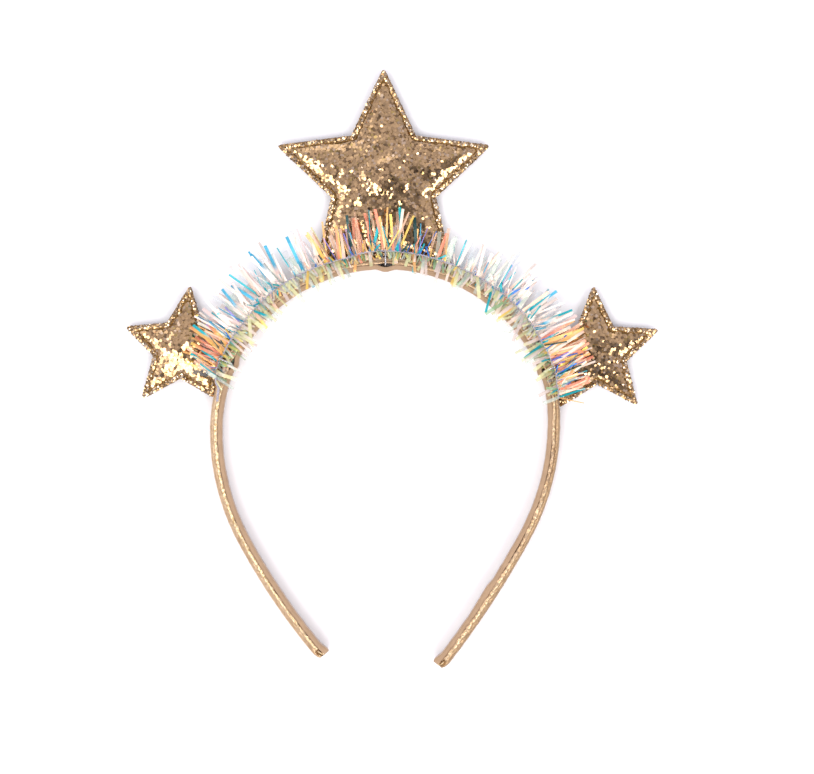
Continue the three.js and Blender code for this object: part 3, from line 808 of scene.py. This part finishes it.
def read_line(places, points, lengths):
    """Points at distances along a line."""
    return np.stack([np.interp(places, lengths, points[:, axis]) for axis in (0, 1)], axis=-1)


def panel_edge(star):
    return star["reach"] * MM * star["waist"] * PANEL_EDGE_SHARE


def star_rings(star, insets):
    """The outline in even steps, drawn in towards the middle by each inset, as (n, k, 2)."""
    points, lengths = closed_line(star_corners(star))
    places = np.linspace(0.0, lengths[-1], round(lengths[-1] / OUTLINE_STEP), endpoint=False)
    outline = read_line(places, points, lengths)
    scales = 1.0 - np.asarray(insets) / panel_edge(star)
    return star_middle(star) + (outline - star_middle(star)) * scales[:, None, None]


def depth_inside(points, corners):
    """Distance of points (n, 2) from an outline, negative outside it."""
    nearest = np.full(len(points), np.inf)
    crossings = np.zeros(len(points), dtype=int)
    for start, end in zip(corners, np.roll(corners, -1, axis=0)):
        edge = end - start
        share = np.clip((points - start) @ edge / (edge @ edge), 0.0, 1.0)
        nearest = np.minimum(nearest, np.linalg.norm(points - start - share[:, None] * edge, axis=1))
        straddles = (start[1] > points[:, 1]) != (end[1] > points[:, 1])
        rise = edge[1] if edge[1] != 0.0 else math.inf
        crossings += straddles & (points[:, 0] < start[0] + (points[:, 1] - start[1]) / rise * edge[0])
    return np.where(crossings % 2 == 1, nearest, -nearest)


def membrane(held_inside):
    """The rise of a sheet blown up inside a mask and held at its edge, as a share of the highest point."""
    rise = np.zeros(held_inside.shape)
    checker = np.indices(held_inside.shape).sum(axis=0) % 2
    relax = 2.0 / (1.0 + math.pi / max(held_inside.shape))
    for _ in range(MEMBRANE_ROUNDS):
        for colour in (0, 1):
            around = np.zeros_like(rise)
            beside = rise[:-2, 1:-1] + rise[2:, 1:-1] + rise[1:-1, :-2] + rise[1:-1, 2:]
            around[1:-1, 1:-1] = (beside + 1.0) / 4.0
            turn = held_inside & (checker == colour)
            rise = np.where(turn, rise + relax * (around - rise), rise)
    return rise / rise.max()


class Relief:
    """The height of a star's face above the middle sheet, read between the points of a fine grid."""

    def __init__(self, star, side):
        seed = star["seed"] + side
        puff = star["puff"] * MM if side > 0 else min(star["puff"] * MM, BACK_PUFF)
        bulges = star["bulges"] if side > 0 else []
        corners = star_corners(star)
        self.low = corners.min(axis=0) - RELIEF_MARGIN
        counts = np.ceil((corners.max(axis=0) + RELIEF_MARGIN - self.low) / RELIEF_PITCH).astype(int)
        places = self.low + RELIEF_PITCH * np.indices(counts).reshape(2, -1).T
        depth = depth_inside(places, corners)
        swell = membrane((depth > SEAM_INSET).reshape(counts)).ravel() ** PILLOW_POWER
        rim = RIM_EDGE + (RIM_HIGH - RIM_EDGE) * np.sqrt(np.clip(depth / RIM_ROUND, 0.0, 1.0))
        past_seam = depth - SEAM_INSET - SEAM_WANDER * ripples("seam", places, seed)
        seam = SEAM_DEEP * np.exp(-(past_seam / SEAM_WIDE) ** 2)
        edge = 1.0 - np.exp(-np.clip(depth - SEAM_INSET, 0.0, None) / PILLOW_EDGE_ROUND)
        wave = PILLOW_WAVE * ripples("pillow", places, seed) * swell
        wave = wave + PILLOW_PUCKER * ripples("pucker", places, seed) * edge
        rise = PILLOW_EDGE_SHARE * edge + (1.0 - PILLOW_EDGE_SHARE) * swell
        height = rim - seam + rise * (puff - RIM_HIGH) + wave
        for bulge in bulges:
            away = np.linalg.norm(places - np.multiply(bulge["middle"], MM), axis=1) / (bulge["radius"] * MM)
            height = height + bulge["rise"] * MM * np.exp(-away ** 2 / 2.0) * swell
        height = height.reshape(counts)
        across, along = np.gradient(height, RELIEF_PITCH)
        self.high = self.low + RELIEF_PITCH * counts
        self.maps = dict(height=height, slope_across=across, slope_along=along, depth=depth.reshape(counts),
                         past_seam=past_seam.reshape(counts))

    def read(self, name, places):
        """One of the star's maps at places (..., 2)."""
        values = self.maps[name]
        steps = (places - self.low) / RELIEF_PITCH
        corner = np.clip(np.floor(steps).astype(int), 0, np.array(values.shape) - 2)
        i, j = np.moveaxis(corner, -1, 0)
        u, v = np.moveaxis(steps - corner, -1, 0)
        return ((1 - u) * (1 - v) * values[i, j] + u * (1 - v) * values[i + 1, j]
                + (1 - u) * v * values[i, j + 1] + u * v * values[i + 1, j + 1])


def panel_insets(star):
    """Insets of the rings of a face, close together over the rim and seam."""
    fine = np.arange(0.0, PANEL_FINE_TO, PANEL_FINE_STEP)
    coarse = np.linspace(PANEL_FINE_TO, panel_edge(star) * PANEL_INNERMOST, PANEL_COARSE_RINGS)
    return np.concatenate([fine, coarse])


def build_panel(star, side, relief, material):
    flat = star_rings(star, panel_insets(star))
    rows, columns = flat.shape[:2]
    rings = with_last(flat, relief.read("height", flat))
    rings = np.concatenate([with_last(flat[:1], FACE_GAP), rings]).reshape(-1, 3)
    middle = star_middle(star)
    top = with_last(middle, relief.read("height", middle))
    points = np.concatenate([rings, [top, with_last(middle, FACE_GAP)]])
    points[:, 2] = STAR_MID_UP + side * points[:, 2]
    ring = np.arange(columns)
    last = rows * columns + ring
    fans = np.concatenate([
        np.stack([np.full(columns, len(rings)), last, np.roll(last, -1)], axis=1),
        np.stack([np.full(columns, len(rings) + 1), np.roll(ring, -1), ring], axis=1),
    ])
    faces = [group[:, ::side] for group in (ring_walls(numbered(rows + 1, columns)), fans)]
    node = star_node(star, side)
    panel = add_piece(node + "_panel", points, faces, material, replaces=node)


def star_node(star, side):
    return f"star_{star['name']}_{'front' if side > 0 else 'back'}"


def pick_rows(rng, shares, count):
    shares = np.asarray(shares) / np.sum(shares)
    return rng.choice(len(shares), size=count, p=shares)


def flake_places(relief, spacing, radius, way, rng):
    """A jittered triangular lattice on one side of the seam: way 1 is inside it and -1 on the rim."""
    columns = np.arange(relief.low[0], relief.high[0], spacing)
    rows = np.arange(relief.low[1], relief.high[1], spacing * math.sqrt(3.0) / 2.0)
    across, along = np.meshgrid(columns, rows, indexing="ij")
    across = across + spacing / 2 * (np.arange(len(rows)) % 2)
    places = np.stack([across.ravel(), along.ravel()], axis=1)
    places = places + rng.uniform(-FLAKE_JITTER, FLAKE_JITTER, places.shape) * spacing
    bridging = rng.uniform(size=len(places)) < SEAM_BRIDGED
    clear = way * relief.read("past_seam", places) > np.where(bridging, 0.0, SEAM_BARE + radius / 2)
    return places[clear & (relief.read("depth", places) > radius / 4)]


def flake_colours(rng, rows, count):
    kinds = pick_rows(rng, [row["share"] for row in rows], count)
    palette = np.array([row["colour"] for row in rows])
    return np.clip(palette[kinds] * rng.uniform(*SHADE_RANGE, (count, 1)), 0.0, 1.0)


def build_flakes(star, side, relief, rng, material):
    """Flakes inside the seam and smaller ones on the rim, tilted a little away from the face under them."""
    inner = flake_places(relief, FLAKE_SPACING, FLAKE_RADIUS, 1, rng)
    rim = flake_places(relief, RIM_FLAKE_SPACING, RIM_FLAKE_RADIUS, -1, rng)
    places = np.concatenate([inner, rim])
    count = len(places)
    on_rim = np.arange(count) >= len(inner)
    loose = rng.uniform(size=count) < LOOSE_FLAKE_SHARE
    spread = np.where(on_rim, RIM_FLAKE_TILT, np.where(loose, LOOSE_FLAKE_TILT, FLAKE_TILT))
    tilt = spread[:, None] * rng.normal(size=(count, 2))
    slope = np.stack([relief.read(name, places) for name in ("slope_across", "slope_along")], axis=1)
    normal = unit(with_last(tilt - slope, 1.0))
    turn = rng.uniform(0.0, math.tau, count)
    first = unit(np.cross(normal, np.stack([np.cos(turn), np.sin(turn), np.zeros(count)], axis=1)))
    lift = rng.uniform(*FLAKE_LIFT, count)
    middle = with_last(places, relief.read("height", places) + lift)
    radius = np.where(on_rim, RIM_FLAKE_RADIUS * rng.uniform(*RIM_FLAKE_RANGE, count),
                      FLAKE_RADIUS * rng.uniform(*FLAKE_RANGE, count))
    ring = circles(first, np.cross(normal, first), FLAKE_CORNERS)
    points = (middle[:, None] + radius[:, None, None] * ring).reshape(-1, 3)
    points[:, 2] = STAR_MID_UP + side * points[:, 2]
    faces = numbered(count, FLAKE_CORNERS)[:, ::side]
    colours = np.concatenate([
        flake_colours(rng, FLAKE_COLOURS, len(inner)), flake_colours(rng, RIM_FLAKE_COLOURS, len(rim)),
    ])
    add_piece(star_node(star, side) + "_flakes", points, [faces], material, smooth=False,
              colours=dict(flake=np.repeat(colours, FLAKE_CORNERS, axis=0)))


def build_stitches(star, side, relief, material):
    """Short arched threads end to end along the seam."""
    seam, lengths = closed_line(star_rings(star, [SEAM_INSET])[0])
    starts = np.arange(0.0, lengths[-1] - STITCH_PITCH, STITCH_PITCH)
    share = np.linspace(0.0, 1.0, STITCH_POINTS)
    flat = read_line(starts[:, None] + STITCH_LENGTH * share, seam, lengths)
    arch = STITCH_RADIUS * (STITCH_LOW + STITCH_ARCH * np.sin(math.pi * share))
    paths = with_last(flat, STAR_MID_UP + side * (relief.read("height", flat) + arch))
    thin = STITCH_TAPER * (2.0 * share - 1.0) ** STITCH_TAPER_POWER
    points, faces = tubes(paths, STITCH_RADIUS * (1.0 - thin), STITCH_SIDES, UP)
    add_piece(star_node(star, side) + "_stitches", points, faces, material)


def build_stars():
    backing, glitter, thread = backing_material(), flake_material(), stitch_material()
    for star in STARS:
        for side in (1, -1):
            rng = np.random.default_rng(star["seed"] * SEEDS_PER_STAR + side)
            relief = Relief(star, side)
            build_panel(star, side, relief, backing)
            build_flakes(star, side, relief, rng, glitter)
            build_stitches(star, side, relief, thread)


# Tinsel garland

def core_at(places):
    """The core's distance out from the hoop's middle line and its height above the table."""
    return eased(places, CORE, "out"), eased(places, CORE, "up")


def build_thread():
    places = np.arange(CORE["at"][0], CORE["at"][-1], PLY_STEP)
    out, up = core_at(places)
    turn = math.tau * places / PLY_TWIST
    paths = np.stack([
        beside_hoop(places, out + PLY_OFFSET * np.cos(turn + start), up + PLY_OFFSET * np.sin(turn + start))
        for start in (0.0, math.pi)
    ])
    points, faces = tubes(paths, PLY_RADIUS, TUBE_SIDES, UP)
    add_piece("tinsel_thread", points, faces, thread_material(), replaces="tinsel_core")


def tinsel_at(places, column):
    """The garland's table, in its own units, at places along the hoop in mm."""
    at = TINSEL["at"]
    return np.interp(places, at, np.broadcast_to(TINSEL[column], len(at)))


def strip_places(rng, tuft):
    """Places along the core, as crowded as the table says."""
    fine = np.linspace(TINSEL["at"][0], TINSEL["at"][-1], STRIP_FINE_STEPS)
    crowd = tinsel_at(fine, tuft["reach"] + "_crowd")
    total = np.concatenate([[0.0], np.cumsum((crowd[1:] + crowd[:-1]) / 2 * np.diff(fine))])
    return np.interp(rng.uniform(0.0, total[-1], round(total[-1])), total, fine) * MM


def strip_paths(rng, places, tuft):
    """Middle lines (n, k, 3) of strips that leave the core on one side and fall over as they go."""
    count = len(places)
    base, outward = hoop_at(places)
    outward = with_last(outward, 0.0)
    along = np.cross(outward, UP)
    out, up = core_at(places)
    start = with_last(base, up) + out[:, None] * outward
    start = start + rng.uniform(-PLY_RADIUS, PLY_RADIUS, (count, 1)) * UP
    lean = np.radians(tuft["side"] * tinsel_at(places / MM, "combed") + rng.normal(0.0, tuft["lean"], count))
    heading = tuft["side"] * outward * np.cos(lean)[:, None] + along * np.sin(lean)[:, None]
    first_rise = np.maximum(rng.normal(tuft["start"], tuft["spread"], count), tuft["least"])
    last_rise = rng.normal(tuft["end"], tuft["spread"], count)
    share = (np.arange(STRIP_SEGMENTS) + 0.5) / STRIP_SEGMENTS
    angle = np.radians(first_rise[:, None] + (last_rise - first_rise)[:, None] * share)
    reach = tinsel_at(places / MM, tuft["reach"]) * MM
    length = reach * np.sqrt(rng.uniform(STRIP_SHORTEST, 1.0, count))
    step = (length / STRIP_SEGMENTS)[:, None, None]
    moves = step * (heading[:, None] * np.cos(angle)[..., None] + UP * np.sin(angle)[..., None])
    return np.concatenate([start[:, None], start[:, None] + np.cumsum(moves, axis=1)], axis=1)


def ribbon_points(rng, paths, wide):
    """Both edges of flat strips along paths, rolled and creased at random."""
    count, nodes, _ = paths.shape
    along = unit(np.gradient(paths, axis=1))
    across = unit(np.cross(along, UP))
    normal = np.cross(across, along)
    twisted = rng.uniform(size=count) < TWISTED_SHARE
    roll = np.where(twisted, TWISTED_ROLL, STRIP_ROLL)[:, None] * rng.normal(size=(count, 1))
    roll = roll + np.cumsum(rng.normal(0.0, STRIP_CREASE, (count, nodes)), axis=1)
    edge = across * np.cos(roll)[..., None] + normal * np.sin(roll)[..., None]
    half = rng.uniform(*np.multiply(wide, MM), count)[:, None, None] / 2
    return np.stack([paths - edge * half, paths + edge * half], axis=2)


def film_kinds(rng, places, groups):
    """A row of film colours for each strip, from its own group of shares in each zone."""
    zones = np.full(len(places), "open", dtype=object)
    for star in STARS:
        start, end = np.multiply(star["base"], MM)
        here = (places > start + STAR_COLOUR_MARGIN) & (places < end - STAR_COLOUR_MARGIN)
        zones[here] = "centre" if star["name"] == "centre" else "side"
    kinds = np.zeros(len(places), dtype=int)
    for zone, group in zip(FILM_ZONES, groups):
        shares = [row["shares"][FILM_GROUPS.index(group)] for row in FILM_COLOURS]
        kinds = np.where(zones == zone, pick_rows(rng, shares, len(places)), kinds)
    return kinds


def build_strips():
    rng = np.random.default_rng(STRIP_SEED)
    points, kinds, others = [], [], []
    for tuft in TUFTS:
        places = strip_places(rng, tuft)
        points.append(ribbon_points(rng, strip_paths(rng, places, tuft), tuft["wide"]))
        kinds.append(film_kinds(rng, places, tuft["colours"]))
        others.append(film_kinds(rng, places, tuft["colours"]))
    points, kinds, others = np.concatenate(points), np.concatenate(kinds), np.concatenate(others)
    count, nodes = points.shape[:2]
    index = numbered(count, nodes, 2)
    faces = np.stack([index[:, :-1, 0], index[:, :-1, 1], index[:, 1:, 1], index[:, 1:, 0]], axis=-1)
    changing = rng.uniform(size=count) < SECOND_COLOUR_SHARE
    change = np.where(changing, rng.uniform(*COLOUR_CHANGE_AT, count), math.inf)
    along = np.linspace(0.0, 1.0, nodes)
    turned = np.clip((along - change[:, None]) / COLOUR_CHANGE_SOFT + 0.5, 0.0, 1.0)[..., None]
    colours = {}
    for key in ("shine", "tint", "cover"):
        palette = np.array([np.broadcast_to(row[key], 3) for row in FILM_COLOURS])
        strip = palette[kinds][:, None] * (1.0 - turned) + palette[others][:, None] * turned
        strip = np.clip(strip * rng.uniform(*FILM_RANGE, (count, 1, 1)), 0.0, 1.0)
        colours[key] = np.repeat(strip.reshape(-1, 3), 2, axis=0)
    add_piece("tinsel_strips", points.reshape(-1, 3), [faces.reshape(-1, 4)], film_material(),
              replaces="tinsel_fringe", smooth=False, colours=colours)


def build_ties():
    material = wire_material()
    fine = np.linspace(0.0, 1.0, TIE_STEPS)
    turns = math.tau * TIE_TURNS * fine + np.array([[0.0], [math.pi]])
    for row in LINING_LIFTS:
        place = row["at"] * MM
        over_core = np.concatenate(core_at(np.array([place]))) + TIE_OVER_CORE
        route = np.concatenate([over_core, TIE_OVER_BAND])
        out, up = read_line(fine, route, np.linspace(0.0, 1.0, len(route))).T
        paths = np.stack([
            beside_hoop(place + TIE_PLY_OFFSET * np.cos(turn), out, up + TIE_PLY_OFFSET * np.sin(turn))
            for turn in turns
        ])
        _, outward = hoop_at(np.array([place]))
        sideways = np.cross(with_last(outward[0], 0.0), UP)
        points, faces = tubes(paths, TIE_PLY_RADIUS, TUBE_SIDES, sideways)
        node = "tie_" + row["tie"]
        add_piece(node + "_wire", points, faces, material, replaces=node)


# Room

def build_floor():
    mesh = bpy.data.meshes.new("floor")
    corners = FLOOR_HALF * np.array([(-1, -1, 0), (1, -1, 0), (1, 1, 0), (-1, 1, 0)])
    mesh.from_pydata(corners.tolist(), [], [(0, 1, 2, 3)])
    mesh.materials.append(floor_material())
    add_object("floor", mesh)


def build_lights():
    for row in SOFTBOXES:
        lamp = bpy.data.lights.new(row["name"] + "_softbox", "AREA")
        lamp.shape = "SQUARE"
        lamp.size = row["side"]
        lamp.energy = row["watts"]
        lamp.color = row["colour"]
        light = add_object(lamp.name, lamp)
        light.location = row["place"]
        light.rotation_euler = (-Vector(row["place"])).to_track_quat("-Z", "Y").to_euler()


def build_sky():
    """A white light tent with a darker opening overhead."""
    world = bpy.data.worlds.new("room")
    world.use_nodes = True
    tree = world.node_tree
    towards = add_node(tree, "VectorMath")
    towards.operation = "DOT_PRODUCT"
    towards.inputs[1].default_value = SKY_DARK_AXIS
    tree.links.new(add_node(tree, "TexCoord").outputs["Generated"], towards.inputs[0])
    stops = [(position, tuple(value * part for part in SKY_COLOUR)) for position, value in SKY_STOPS]
    set_inputs(tree.nodes["Background"], Color=add_ramp(tree, towards.outputs["Value"], stops))
    bpy.context.scene.world = world


def build_camera():
    data = bpy.data.cameras.new("camera")
    data.sensor_width = SENSOR_WIDE
    data.lens = SENSOR_WIDE * CAMERA_AWAY / (IMAGE_WIDE * PIXEL_WIDE)
    camera = add_object("camera", data)
    camera.location = CAMERA_AIM + CAMERA_AWAY * UP
    bpy.context.scene.camera = camera
    bpy.context.scene.view_settings.view_transform = "Standard"


build_camera()
build_floor()
build_lights()
build_sky()
build_band()
build_lining()
build_stars()
build_thread()
build_strips()
build_ties()
